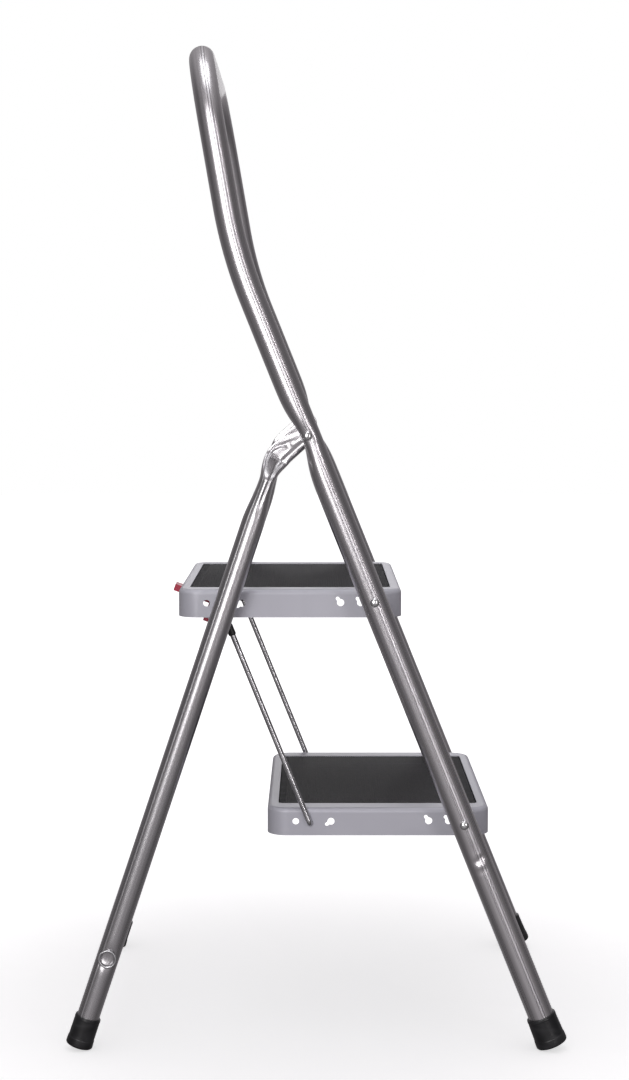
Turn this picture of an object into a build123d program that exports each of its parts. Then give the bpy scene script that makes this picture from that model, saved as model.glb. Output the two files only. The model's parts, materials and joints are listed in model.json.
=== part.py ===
"""Two-tread folding step stool with a tall hand loop.

Millimetres, +Z up, +X towards the side the user climbs from, +Y to the stool's left.
The origin is on the floor, at the middle of the stool's footprint.
"""
import os
from math import asin, atan2, cos, degrees, radians, sin, sqrt, tan

from build123d import *

# ---------------------------------------------------------------- driving dimensions
# Overall
FOOTPRINT_LENGTH = 487.0      # front of the front feet to the back of the rear feet
OVERALL_HEIGHT = 971.5        # floor to the crown of the hand loop
TUBE_TO_TREAD_GAP = 16.5      # front tube's inner side to the tread's side wall

# Front frame: one tube bent to an upside-down U
FRONT_TUBE_DIA = 25.0
FRONT_TUBE_WALL = 1.2
FRONT_LEAN = 21.93            # degrees from upright, below the bend
HANDLE_LEAN = 9.8             # degrees from upright, above the bend
BEND_HEIGHT = 768.0           # where the two straight runs would meet
BEND_RADIUS = 430.0
LOOP_RADIUS = 75.0            # centre line radius of the hand loop's corners

# Rear frame: two legs with a flattened, cranked top
REAR_TUBE_DIA = 22.0
REAR_TUBE_WALL = 1.2
PIVOT_HEIGHT = 596.0          # frame pivot above the floor, on the front tube's centre line
CRANK_LEAN = 48.0             # degrees from upright, of the flattened end
CRANK_OFFSET = 23.1           # pivot to the rear leg's straight centre line, square to it
CRANK_RADIUS = 78.0
TAB_THICKNESS = 3.0           # flattened tube end
TAB_WIDTH = 31.0
TAB_LENGTH = 34.0             # pivot to where the flattened end starts to round out
TAB_BLEND = 0.4               # how much the rounding section stands proud of the flat
TAB_OVERLAP = 2.0             # how far the flat runs into the rounding section
CRANK_STATIONS = 7            # sections the rounding is lofted through
ROUNDING_LENGTH = 40.0        # flattened section to full round section, along the crank

# Cross members of the rear frame
CROSS_TUBE_DIA = 15.0
CROSS_TUBE_WALL = 1.2
CROSS_TUBE_HEIGHT = 91.3
CROSS_TUBE_FLARE_DIA = 17.8
CROSS_TUBE_FLARE_DEPTH = 1.6
SUPPORT_BAR_DIA = 11.0
SUPPORT_BAR_WALL = 1.2

# Feet
FOOT_LENGTH = 31.0
FOOT_FLOOR = 5.0              # rubber under the tube's end
FOOT_EDGE = 3.5               # rounding of the bottom edge
FOOT_SQUASH = 0.8             # how far the bottom edge is pressed flat on the floor
FRONT_FOOT_WALL = 1.75        # rubber round the tube, at the cup's rim
FRONT_FOOT_FLARE = 2.9        # rim diameter to bottom diameter
REAR_FOOT_WALL = 1.4
REAR_FOOT_FLARE = 2.0

# Treads: two identical pressed trays, each with a mat
TREAD_WIDTH = 300.0
TREAD_DEPTH = 218.0
TREAD_HEIGHT = 27.2
TREAD_SHEET = 1.2
TREAD_CORNER_RADIUS = 20.0
TREAD_EDGE_RADIUS = 4.5
TREAD_BOTTOM_HEIGHT = 203.5   # lower tread's bottom edge above the floor
TREAD_RISE = 215.0            # lower tread to upper tread
MAT_SIDE_RIM = 23.5
MAT_END_RIM = 10.5
MAT_THICKNESS = 2.0
MAT_RECESS = 2.3
MAT_CORNER_RADIUS = 5.0
MAT_GAP = 0.25                # mat edge to the pocket's wall

# Places in a tread, from its rear edge and up from its bottom edge
RIVET_FROM_FRONT = 27.8
RIVET_UP = 19.0
ROD_HOLE_FROM_REAR = 42.0
ROD_HOLE_UP = 12.1
ROUND_HOLE_FROM_REAR = 28.0
ROUND_HOLE_UP = 14.0
ROUND_HOLE_DIA = 6.5
KEYHOLE_DIA = 7.0
KEYHOLE_SLOT = 3.6
KEYHOLE_REACH = 5.0
# rear offset, up, direction of the narrow slot in degrees, anticlockwise from the front
KEYHOLES = [(62.5, 14.0, 215.0), (158.3, 14.5, 125.0), (177.8, 14.5, 128.0)]

# Rivets
PIVOT_RIVET_DIA = 6.0
STEP_RIVET_DIA = 6.0
RIVET_HEAD_DIA = 8.6
RIVET_HEAD_HEIGHT = 2.6       # above the tube's outermost line
RIVET_HEAD_SADDLE = 1.2       # how far the head's edge reaches down round the tube
RIVET_TAIL_DIA = 8.0
RIVET_TAIL_HEIGHT = 2.0
RIVET_TAIL_TAPER = radians(12.0)
SPACER_DIA = 10.0
WASHER_DIA = 16.0
WASHER_THICKNESS = 1.1

# Link rods between the two treads
ROD_DIA = 5.5
ROD_BEND_RADIUS = 4.0
ROD_TO_TREAD_GAP = 1.25
ROD_TAIL = 5.5                # peg past the inside of the tread's wall
CLIP_WIDTH = 2.75             # rod to the clip's outer edge
CLIP_THICKNESS = 1.0
SLEEVE_WALL = 0.95
SLEEVE_LENGTH = 11.0
SLEEVE_DOWN = 20.0            # rod hole to the sleeve's upper end, along the rod

# Latch under the upper tread
LATCH_WIDTH = 22.0
LATCH_THICKNESS = 7.0
LATCH_REACH = 12.5            # tab past the tread's rear wall
LATCH_LIFT = 20.0             # degrees the tab is lifted when released
LATCH_PIN_DIA = 4.0
LATCH_PIN_IN = 9.0            # pin's centre line inside the tread's rear edge
LATCH_PIN_UP = 7.5            # pin's centre line above the tread's bottom edge
LATCH_HOOK_THICKNESS = 3.5
LATCH_LIP_OVERHANG = 7.5
LATCH_LIP_SLOPE = 2.0         # the lip's tip slopes back by this much
LATCH_TAB_ROUNDING = 1.2
LATCH_PIN_HEAD_DIA = 6.4
LATCH_PIN_HEAD_HEIGHT = 1.2
BRACKET_SHEET = 1.2
BRACKET_EAR_GAP = 0.4

# Clearances
RUNNING = 0.05                # radial, a rivet or pin in its hole
FACE_GAP = 0.1                # between flat faces that turn on each other
REST_GAP = 0.3                # support bar under the upper tread
SLOT_GAP = 0.8                # latch in the tread's rear slot
SLOT_CORNER_RADIUS = 1.5
THROUGH = 1.0                 # how far a cut runs past the face it leaves by
LEAN_ROUNDS = 8               # rounds in which the rear leg's lean and foot settle

# ---------------------------------------------------------------- derived places
front_r = FRONT_TUBE_DIA / 2
rear_r = REAR_TUBE_DIA / 2
half_tread = TREAD_WIDTH / 2
half_track = half_tread + TUBE_TO_TREAD_GAP + front_r
front_lean, handle_lean, crank_lean = radians(FRONT_LEAN), radians(HANDLE_LEAN), radians(CRANK_LEAN)
front_foot_top_dia = FRONT_TUBE_DIA + 2 * FRONT_FOOT_WALL
front_foot_bottom_dia = front_foot_top_dia + FRONT_FOOT_FLARE
rear_foot_top_dia = REAR_TUBE_DIA + 2 * REAR_FOOT_WALL
rear_foot_bottom_dia = rear_foot_top_dia + REAR_FOOT_FLARE


def foot_centre(bottom_dia, lean):
    """Height of a foot's bottom centre, and how far the foot reaches past it."""
    flat_r = bottom_dia / 2 - FOOT_EDGE
    height = flat_r * sin(lean) + FOOT_EDGE * (1 - cos(lean)) - FOOT_SQUASH
    reach = flat_r * cos(lean) - FOOT_EDGE * sin(lean) + FOOT_EDGE
    return height, reach


front_foot_z, front_foot_reach = foot_centre(front_foot_bottom_dia, front_lean)
front_foot_x = FOOTPRINT_LENGTH / 2 - front_foot_reach


def front_x(height):
    """X of the front tube's centre line at a height below its bend."""
    return front_foot_x - (height - front_foot_z) * tan(front_lean)


pivot_x = front_x(PIVOT_HEIGHT)
# The rear leg's lean follows from its foot, the pivot and the crank's offset, and the foot's
# place follows from the lean. The two settle together in a few rounds.
leg_lean = front_lean
for _ in range(LEAN_ROUNDS):
    rear_foot_z, rear_foot_reach = foot_centre(rear_foot_bottom_dia, leg_lean)
    rear_foot_x = -FOOTPRINT_LENGTH / 2 + rear_foot_reach
    pivot_to_foot = sqrt((pivot_x - rear_foot_x) ** 2 + (PIVOT_HEIGHT - rear_foot_z) ** 2)
    leg_lean = atan2(pivot_x - rear_foot_x, PIVOT_HEIGHT - rear_foot_z) - asin(CRANK_OFFSET / pivot_to_foot)


def rear_x(height):
    """X of the rear leg's straight centre line at a height."""
    return rear_foot_x + (height - rear_foot_z) * tan(leg_lean)


# Treads, located by the rivets on the front tube
lower_rivet_z = TREAD_BOTTOM_HEIGHT + RIVET_UP
upper_rivet_z = lower_rivet_z + TREAD_RISE
lower_rivet = (front_x(lower_rivet_z), lower_rivet_z)
upper_rivet = (front_x(upper_rivet_z), upper_rivet_z)
lower_tread_x = lower_rivet[0] + RIVET_FROM_FRONT - TREAD_DEPTH / 2
upper_tread_x = upper_rivet[0] + RIVET_FROM_FRONT - TREAD_DEPTH / 2
upper_bottom = upper_rivet_z - RIVET_UP
lower_bottom = lower_rivet_z - RIVET_UP
upper_rear = upper_tread_x - TREAD_DEPTH / 2
upper_rod = (upper_rear + ROD_HOLE_FROM_REAR, upper_bottom + ROD_HOLE_UP)
lower_rod = (upper_rod[0] + lower_rivet[0] - upper_rivet[0], upper_rod[1] - TREAD_RISE)

# Support bar: just under the upper tread, flush with the back of the rear legs
bar_r = SUPPORT_BAR_DIA / 2
bar_z = upper_bottom - REST_GAP - bar_r
bar_x = rear_x(bar_z) - (rear_r - bar_r) / cos(leg_lean)
rod_lean = atan2(lower_rod[0] - upper_rod[0], upper_rod[1] - lower_rod[1])

# Where things sit across the stool, as distances from the middle plane
tube_outside = half_track + front_r
tube_inside = half_track - front_r
tab_outer = tube_inside - WASHER_THICKNESS - FACE_GAP
tab_inner = tab_outer - TAB_THICKNESS
rod_y = half_tread + ROD_TO_TREAD_GAP + ROD_DIA / 2
wall_inside = half_tread - TREAD_SHEET

SIDES = (("left", 1), ("right", -1))
os.makedirs("parts", exist_ok=True)


def write(solid, label):
    """Label a finished piece and write its STEP file."""
    solid.part.label = label
    export_step(solid.part, f"parts/{label}.step")


def across(x, z, start, side):
    """Plane square to the stool's width, looking outwards, at a distance from the middle."""
    return Plane(origin=(x, side * start, z), x_dir=(1, 0, 0), z_dir=(0, side, 0))


def leg_axis(x, z, lean, side):
    """Plane at the bottom end of a leg, looking up along it. lean is positive to the rear."""
    return Plane(origin=(x, side * half_track, z), x_dir=(0, 1, 0), z_dir=(-sin(lean), 0, cos(lean)))


# ---------------------------------------------------------------- front frame
bend_x = front_x(BEND_HEIGHT)
crown_z = OVERALL_HEIGHT - front_r
crown_x = bend_x - (crown_z - BEND_HEIGHT) * tan(handle_lean)
tube_start_z = front_foot_z + FOOT_FLOOR * cos(front_lean)
tube_start_x = front_x(tube_start_z)
front_run = (PIVOT_HEIGHT + WASHER_DIA - tube_start_z) / cos(front_lean)   # foot to just past the pivot

with BuildPart() as front_tube:
    with BuildLine() as front_path:
        FilletPolyline(
            (tube_start_x, -half_track, tube_start_z),
            (bend_x, -half_track, BEND_HEIGHT),
            (crown_x, -half_track, crown_z),
            (crown_x, half_track, crown_z),
            (bend_x, half_track, BEND_HEIGHT),
            (tube_start_x, half_track, tube_start_z),
            radius=[BEND_RADIUS, LOOP_RADIUS, LOOP_RADIUS, BEND_RADIUS],
        )
    with BuildSketch(leg_axis(tube_start_x, tube_start_z, front_lean, -1)):
        Circle(front_r)
        Circle(front_r - FRONT_TUBE_WALL, mode=Mode.SUBTRACT)
    sweep(path=front_path.wires()[0])
    for x, z, dia in (
        (pivot_x, PIVOT_HEIGHT, PIVOT_RIVET_DIA),
        (*upper_rivet, STEP_RIVET_DIA),
        (*lower_rivet, STEP_RIVET_DIA),
    ):
        with BuildSketch(Plane(origin=(x, 0, z), x_dir=(1, 0, 0), z_dir=(0, 1, 0))):
            Circle(dia / 2 + RUNNING)
        extrude(amount=tube_outside + THROUGH, both=True, mode=Mode.SUBTRACT)
write(front_tube, "front_tube")


def foot(side, x, z, lean, top_dia, bottom_dia, tube_r):
    """Rubber cup on a leg's end, pressed flat where it meets the floor."""
    with BuildPart() as cup:
        axis = leg_axis(x, z, lean, side)
        with BuildSketch(axis):
            Circle(bottom_dia / 2)
        with BuildSketch(axis.offset(FOOT_LENGTH)):
            Circle(top_dia / 2)
        loft()
        fillet(cup.edges().group_by(Axis.Z)[0], FOOT_EDGE)
        with BuildSketch(axis.offset(FOOT_FLOOR)):
            Circle(tube_r)
        extrude(amount=FOOT_LENGTH, mode=Mode.SUBTRACT)
        with BuildSketch(Plane.XY.offset(-FOOT_LENGTH)):
            with Locations((x, side * half_track)):
                Rectangle(4 * bottom_dia, 4 * bottom_dia)
        extrude(amount=FOOT_LENGTH, mode=Mode.SUBTRACT)
    return cup


for name, side in SIDES:
    front_foot = foot(side, front_foot_x, front_foot_z, front_lean,
                      front_foot_top_dia, front_foot_bottom_dia, front_r)
    write(front_foot, f"front_foot_{name}")
    rear_foot = foot(side, rear_foot_x, rear_foot_z, -leg_lean,
                     rear_foot_top_dia, rear_foot_bottom_dia, rear_r)
    write(rear_foot, f"rear_foot_{name}")

# ---------------------------------------------------------------- rear frame
# Going down from the pivot: a straight flattened end, an arc, then the straight leg.
crank_turn = crank_lean - leg_lean
crank_tangent = CRANK_RADIUS * tan(crank_turn / 2)
corner_from_pivot = CRANK_OFFSET / sin(crank_turn)
arc_start = corner_from_pivot - crank_tangent
arc_length = CRANK_RADIUS * crank_turn
rounding_end = max(TAB_LENGTH + ROUNDING_LENGTH, arc_start + arc_length)


def crank_point(distance):
    """Place and downward direction, as x and z, at a distance from the pivot along the crank."""
    if distance <= arc_start:
        lean = crank_lean
        x, z = -distance * sin(lean), -distance * cos(lean)
    else:
        turned = min((distance - arc_start) / CRANK_RADIUS, crank_turn)
        lean = crank_lean - turned
        x = -arc_start * sin(crank_lean) - CRANK_RADIUS * (cos(lean) - cos(crank_lean))
        z = -arc_start * cos(crank_lean) - CRANK_RADIUS * (sin(crank_lean) - sin(lean))
        rest = max(distance - arc_start - arc_length, 0.0)
        x, z = x - rest * sin(lean), z - rest * cos(lean)
    return pivot_x + x, PIVOT_HEIGHT + z, (-sin(lean), -cos(lean))


def crank_section(distance):
    """Half width, half thickness and distance from the middle plane of a crank section."""
    share = min(max((distance - TAB_LENGTH) / (rounding_end - TAB_LENGTH), 0.0), 1.0)
    eased = share * share * (3 - 2 * share)
    start_width, start_thick = TAB_WIDTH / 2 + TAB_BLEND, TAB_THICKNESS / 2 + TAB_BLEND
    half_width = start_width + (rear_r - start_width) * eased
    half_thick = start_thick + (rear_r - start_thick) * eased
    middle = tab_inner + TAB_THICKNESS / 2 + (half_track - tab_inner - TAB_THICKNESS / 2) * eased
    return half_width, half_thick, middle


def section_plane(distance, side):
    """Plane of a crank section: x across the side view, y across the stool."""
    x, z, down = crank_point(distance)
    middle = crank_section(distance)[2]
    return Plane(origin=(x, side * middle, z), x_dir=(down[1], 0, -down[0]), z_dir=(down[0], 0, down[1]))


leg_top = crank_point(rounding_end)
leg_bottom_z = rear_foot_z + FOOT_FLOOR * cos(leg_lean)
leg_run = (leg_top[1] - leg_bottom_z) / cos(leg_lean)

left_side = SIDES[0][1]

with BuildPart() as rear_leg_left:
    for station in range(CRANK_STATIONS):
        distance = TAB_LENGTH + (rounding_end - TAB_LENGTH) * station / (CRANK_STATIONS - 1)
        half_width, half_thick, middle = crank_section(distance)
        with BuildSketch(section_plane(distance, left_side)):
            if half_width > half_thick:
                Ellipse(half_width, half_thick)
            else:
                Circle(rear_r)
    loft()
    with BuildSketch(leg_axis(rear_x(leg_bottom_z), leg_bottom_z, -leg_lean, left_side)):
        Circle(rear_r)
        Circle(rear_r - REAR_TUBE_WALL, mode=Mode.SUBTRACT)
    extrude(amount=leg_run)
    tab_plane = Plane(origin=(pivot_x, left_side * tab_inner, PIVOT_HEIGHT),
                      x_dir=(-sin(crank_lean), 0, -cos(crank_lean)), z_dir=(0, left_side, 0))
    with BuildSketch(tab_plane):
        with Locations(((TAB_LENGTH + TAB_OVERLAP) / 2, 0)):
            Rectangle(TAB_LENGTH + TAB_OVERLAP, TAB_WIDTH)
        Circle(TAB_WIDTH / 2)
        Circle(PIVOT_RIVET_DIA / 2 + RUNNING, mode=Mode.SUBTRACT)
    extrude(amount=TAB_THICKNESS)
    with BuildSketch(across(rear_x(CROSS_TUBE_HEIGHT), CROSS_TUBE_HEIGHT, 0, left_side)):
        Circle(CROSS_TUBE_DIA / 2)
    extrude(amount=half_track + rear_r + THROUGH, mode=Mode.SUBTRACT)
write(rear_leg_left, "rear_leg_left")

with BuildPart() as rear_leg_right:
    mirror(rear_leg_left.part, about=Plane.XZ)
write(rear_leg_right, "rear_leg_right")

cross_x = rear_x(CROSS_TUBE_HEIGHT)
cross_r = CROSS_TUBE_DIA / 2
leg_outside = half_track + rear_r

with BuildPart() as rear_cross_tube:
    with BuildSketch(Plane(origin=(cross_x, 0, CROSS_TUBE_HEIGHT), x_dir=(1, 0, 0), z_dir=(0, 1, 0))):
        Circle(cross_r)
    extrude(amount=leg_outside, both=True)
    for _, side in SIDES:
        with BuildSketch(across(cross_x, CROSS_TUBE_HEIGHT, leg_outside, side)):
            Circle(cross_r)
        with BuildSketch(across(cross_x, CROSS_TUBE_HEIGHT, leg_outside + CROSS_TUBE_FLARE_DEPTH, side)):
            Circle(CROSS_TUBE_FLARE_DIA / 2)
        loft()
    with BuildSketch(Plane(origin=(cross_x, 0, CROSS_TUBE_HEIGHT), x_dir=(1, 0, 0), z_dir=(0, 1, 0))):
        Circle(cross_r - CROSS_TUBE_WALL)
    extrude(amount=leg_outside + 2 * CROSS_TUBE_FLARE_DEPTH, both=True, mode=Mode.SUBTRACT)
write(rear_cross_tube, "rear_cross_tube")

with BuildPart() as step_support_bar:
    with BuildSketch(Plane(origin=(bar_x, 0, bar_z), x_dir=(1, 0, 0), z_dir=(0, 1, 0))):
        Circle(bar_r)
        Circle(bar_r - SUPPORT_BAR_WALL, mode=Mode.SUBTRACT)
    extrude(amount=half_track - rear_r / 2, both=True)
    for _, side in SIDES:
        with BuildSketch(leg_axis(rear_x(leg_bottom_z), leg_bottom_z, -leg_lean, side)):
            Circle(rear_r)
        extrude(amount=leg_run, mode=Mode.SUBTRACT)
write(step_support_bar, "step_support_bar")


# ---------------------------------------------------------------- rivets, washers and spacers
def rivet(side, x, z, dia, tail_face):
    """Domed rivet: head saddled on the front tube, shank inwards, set tail inside."""
    head_base = tube_outside - RIVET_HEAD_SADDLE
    with BuildPart() as piece:
        with BuildSketch(across(x, z, head_base, side)):
            Circle(RIVET_HEAD_DIA / 2)
        extrude(amount=tube_outside - head_base + RIVET_HEAD_HEIGHT)
        fillet(piece.faces().sort_by(Axis.Y)[-1 if side > 0 else 0].edges(), RIVET_HEAD_HEIGHT * 0.95)
        with BuildSketch(leg_axis(tube_start_x, tube_start_z, front_lean, side)):
            Circle(front_r)
        extrude(amount=front_run, mode=Mode.SUBTRACT)
        with BuildSketch(across(x, z, tail_face, side)):
            Circle(dia / 2)
        extrude(amount=tube_outside - tail_face + RIVET_HEAD_HEIGHT / 2)
        with BuildSketch(across(x, z, tail_face - RIVET_TAIL_HEIGHT, side)):
            Circle(RIVET_TAIL_DIA / 2 - RIVET_TAIL_HEIGHT * tan(RIVET_TAIL_TAPER))
        extrude(amount=RIVET_TAIL_HEIGHT, taper=-degrees(RIVET_TAIL_TAPER))
    return piece


for name, side in SIDES:
    pivot_rivet = rivet(side, pivot_x, PIVOT_HEIGHT, PIVOT_RIVET_DIA, tab_inner - FACE_GAP)
    write(pivot_rivet, f"pivot_rivet_{name}")
    with BuildPart() as pivot_washer:
        with BuildSketch(across(pivot_x, PIVOT_HEIGHT, tube_inside - WASHER_THICKNESS, side)):
            Circle(WASHER_DIA / 2)
            Circle(PIVOT_RIVET_DIA / 2 + RUNNING, mode=Mode.SUBTRACT)
        extrude(amount=WASHER_THICKNESS)
    write(pivot_washer, f"pivot_washer_{name}")
    for step, (x, z) in (("upper", upper_rivet), ("lower", lower_rivet)):
        step_rivet = rivet(side, x, z, STEP_RIVET_DIA, wall_inside - FACE_GAP)
        write(step_rivet, f"{step}_step_rivet_{name}")
        with BuildPart() as spacer:
            with BuildSketch(across(x, z, half_tread + FACE_GAP, side)):
                Circle(SPACER_DIA / 2)
                Circle(STEP_RIVET_DIA / 2 + RUNNING, mode=Mode.SUBTRACT)
            extrude(amount=TUBE_TO_TREAD_GAP + THROUGH)
            with BuildSketch(leg_axis(tube_start_x, tube_start_z, front_lean, side)):
                Circle(front_r)
            extrude(amount=front_run, mode=Mode.SUBTRACT)
        write(spacer, f"{step}_step_spacer_{name}")

# ---------------------------------------------------------------- treads
latch_x = upper_rear + LATCH_PIN_IN
latch_z = upper_bottom + LATCH_PIN_UP
latch_lift = radians(LATCH_LIFT)
slot_low = -LATCH_THICKNESS / 2 - SLOT_GAP
slot_high = LATCH_PIN_IN * tan(latch_lift) + LATCH_THICKNESS / 2 / cos(latch_lift) + SLOT_GAP


def tread(centre_x, bottom, with_slot):
    """Pressed tray: open below, rounded rim, shallow pocket for the mat, pierced side walls."""
    rear = centre_x - TREAD_DEPTH / 2
    pocket_x, pocket_y = TREAD_DEPTH - 2 * MAT_END_RIM, TREAD_WIDTH - 2 * MAT_SIDE_RIM
    top = bottom + TREAD_HEIGHT
    with BuildPart() as tray:
        with BuildSketch(Plane.XY.offset(bottom)):
            with Locations((centre_x, 0)):
                RectangleRounded(TREAD_DEPTH, TREAD_WIDTH, TREAD_CORNER_RADIUS)
        extrude(amount=TREAD_HEIGHT)
        fillet(tray.edges().group_by(Axis.Z)[-1], TREAD_EDGE_RADIUS)
        with BuildPart(mode=Mode.PRIVATE) as hollow:
            with BuildSketch(Plane.XY.offset(bottom)):
                with Locations((centre_x, 0)):
                    RectangleRounded(TREAD_DEPTH - 2 * TREAD_SHEET, TREAD_WIDTH - 2 * TREAD_SHEET,
                                     TREAD_CORNER_RADIUS - TREAD_SHEET)
            extrude(amount=TREAD_HEIGHT - TREAD_SHEET)
            fillet(hollow.edges().group_by(Axis.Z)[-1], TREAD_EDGE_RADIUS - TREAD_SHEET)
        add(hollow.part, mode=Mode.SUBTRACT)
        with BuildSketch(Plane.XY.offset(top - MAT_RECESS - TREAD_SHEET)):
            with Locations((centre_x, 0)):
                RectangleRounded(pocket_x + 2 * TREAD_SHEET, pocket_y + 2 * TREAD_SHEET,
                                 MAT_CORNER_RADIUS + TREAD_SHEET)
        extrude(amount=MAT_RECESS + TREAD_SHEET / 2)
        with BuildSketch(Plane.XY.offset(top - MAT_RECESS)):
            with Locations((centre_x, 0)):
                RectangleRounded(pocket_x, pocket_y, MAT_CORNER_RADIUS)
        extrude(amount=MAT_RECESS + THROUGH, mode=Mode.SUBTRACT)
        # side holes, straight through both walls
        with BuildSketch(Plane(origin=(rear, 0, bottom), x_dir=(1, 0, 0), z_dir=(0, -1, 0))):
            with Locations((TREAD_DEPTH - RIVET_FROM_FRONT, RIVET_UP)):
                Circle(STEP_RIVET_DIA / 2 + RUNNING)
            with Locations((ROD_HOLE_FROM_REAR, ROD_HOLE_UP)):
                Circle(ROD_DIA / 2 + REST_GAP)
            with Locations((ROUND_HOLE_FROM_REAR, ROUND_HOLE_UP)):
                Circle(ROUND_HOLE_DIA / 2)
            for offset_x, up, turn in KEYHOLES:
                with Locations((offset_x, up)):
                    Circle(KEYHOLE_DIA / 2)
                reach_x, reach_y = KEYHOLE_REACH * cos(radians(turn)), KEYHOLE_REACH * sin(radians(turn))
                with Locations((offset_x + reach_x, up + reach_y)):
                    Circle(KEYHOLE_SLOT / 2)
                with Locations(Location((offset_x + reach_x / 2, up + reach_y / 2, 0), (0, 0, turn))):
                    Rectangle(KEYHOLE_REACH, KEYHOLE_SLOT)
        extrude(amount=half_tread + THROUGH, both=True, mode=Mode.SUBTRACT)
        if with_slot:
            with BuildSketch(Plane(origin=(rear, 0, latch_z), x_dir=(0, 1, 0), z_dir=(1, 0, 0))):
                with Locations((0, (slot_low + slot_high) / 2)):
                    RectangleRounded(LATCH_WIDTH + 2 * SLOT_GAP, slot_high - slot_low, SLOT_CORNER_RADIUS)
            extrude(amount=2 * TREAD_SHEET, both=True, mode=Mode.SUBTRACT)
    return tray


def mat(centre_x, bottom):
    """Flat mat lying in a tray's pocket."""
    with BuildPart() as pad:
        with BuildSketch(Plane.XY.offset(bottom + TREAD_HEIGHT - MAT_RECESS)):
            with Locations((centre_x, 0)):
                RectangleRounded(TREAD_DEPTH - 2 * (MAT_END_RIM + MAT_GAP),
                                 TREAD_WIDTH - 2 * (MAT_SIDE_RIM + MAT_GAP), MAT_CORNER_RADIUS - MAT_GAP)
        extrude(amount=MAT_THICKNESS)
    return pad


upper_tray = tread(upper_tread_x, upper_bottom, with_slot=True)
write(upper_tray, "upper_step_tray")
lower_tray = tread(lower_tread_x, lower_bottom, with_slot=False)
write(lower_tray, "lower_step_tray")
upper_mat = mat(upper_tread_x, upper_bottom)
write(upper_mat, "upper_step_mat")
lower_mat = mat(lower_tread_x, lower_bottom)
write(lower_mat, "lower_step_mat")

# ---------------------------------------------------------------- link rods
peg_end = wall_inside - ROD_TAIL

for name, side in SIDES:
    with BuildPart() as link_rod:
        with BuildLine() as rod_path:
            FilletPolyline(
                (upper_rod[0], side * peg_end, upper_rod[1]),
                (upper_rod[0], side * rod_y, upper_rod[1]),
                (lower_rod[0], side * rod_y, lower_rod[1]),
                (lower_rod[0], side * peg_end, lower_rod[1]),
                radius=ROD_BEND_RADIUS,
            )
        with BuildSketch(across(*upper_rod, peg_end, side)):
            Circle(ROD_DIA / 2)
        sweep(path=rod_path.wires()[0])
    write(link_rod, f"link_rod_{name}")
    sleeve_x = upper_rod[0] + SLEEVE_DOWN * sin(rod_lean)
    sleeve_z = upper_rod[1] - SLEEVE_DOWN * cos(rod_lean)
    with BuildPart() as rod_sleeve:
        with BuildSketch(Plane(origin=(sleeve_x, side * rod_y, sleeve_z), x_dir=(0, 1, 0),
                               z_dir=(sin(rod_lean), 0, -cos(rod_lean)))):
            Circle(ROD_DIA / 2 + SLEEVE_WALL)
            Circle(ROD_DIA / 2, mode=Mode.SUBTRACT)
        extrude(amount=SLEEVE_LENGTH)
    write(rod_sleeve, f"rod_sleeve_{name}")
    for step, (x, z) in (("upper", upper_rod), ("lower", lower_rod)):
        with BuildPart() as clip:
            with BuildSketch(across(x, z, wall_inside - REST_GAP - CLIP_THICKNESS, side)):
                Circle(ROD_DIA / 2 + CLIP_WIDTH)
                Circle(ROD_DIA / 2, mode=Mode.SUBTRACT)
            extrude(amount=CLIP_THICKNESS)
        write(clip, f"{step}_rod_clip_{name}")

# ---------------------------------------------------------------- latch
# Drawn locked, in the lever's own plane, then turned to the released rest position.
bar_from_pin_x, bar_from_pin_z = bar_x - latch_x, bar_z - latch_z
shank_front = bar_from_pin_x - bar_r - REST_GAP
lip_top = bar_from_pin_z - bar_r - REST_GAP
tab_tip = -(LATCH_PIN_IN + LATCH_REACH) / cos(latch_lift)
half_lever = LATCH_THICKNESS / 2
lever_plane = Plane(origin=(latch_x, 0, latch_z), x_dir=(cos(latch_lift), 0, -sin(latch_lift)), z_dir=(0, -1, 0))

with BuildPart() as latch_lever:
    with BuildSketch(lever_plane):
        with BuildLine():
            Polyline(
                (tab_tip, -half_lever),
                (tab_tip, half_lever),
                (shank_front, half_lever),
                (shank_front, lip_top),
                (bar_from_pin_x + LATCH_LIP_OVERHANG - bar_r, lip_top),
                (bar_from_pin_x + LATCH_LIP_OVERHANG - bar_r - LATCH_LIP_SLOPE, lip_top - LATCH_HOOK_THICKNESS),
                (shank_front - LATCH_HOOK_THICKNESS, lip_top - LATCH_HOOK_THICKNESS),
                (shank_front - LATCH_HOOK_THICKNESS, -half_lever),
                close=True,
            )
        make_face()
        Circle(LATCH_PIN_DIA / 2 + RUNNING, mode=Mode.SUBTRACT)
    extrude(amount=LATCH_WIDTH / 2, both=True)
    fillet(latch_lever.edges().filter_by(Axis.Y).group_by(Axis.X)[0], LATCH_TAB_ROUNDING)
write(latch_lever, "latch_lever")

ear_inner = LATCH_WIDTH / 2 + BRACKET_EAR_GAP
ear_outer = ear_inner + BRACKET_SHEET
bracket_back = upper_rear + TREAD_SHEET
ear_front = latch_x + LATCH_PIN_DIA
sill_top = slot_low - SLOT_GAP / 2
sill_bottom = -LATCH_PIN_UP + SLOT_GAP

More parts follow.
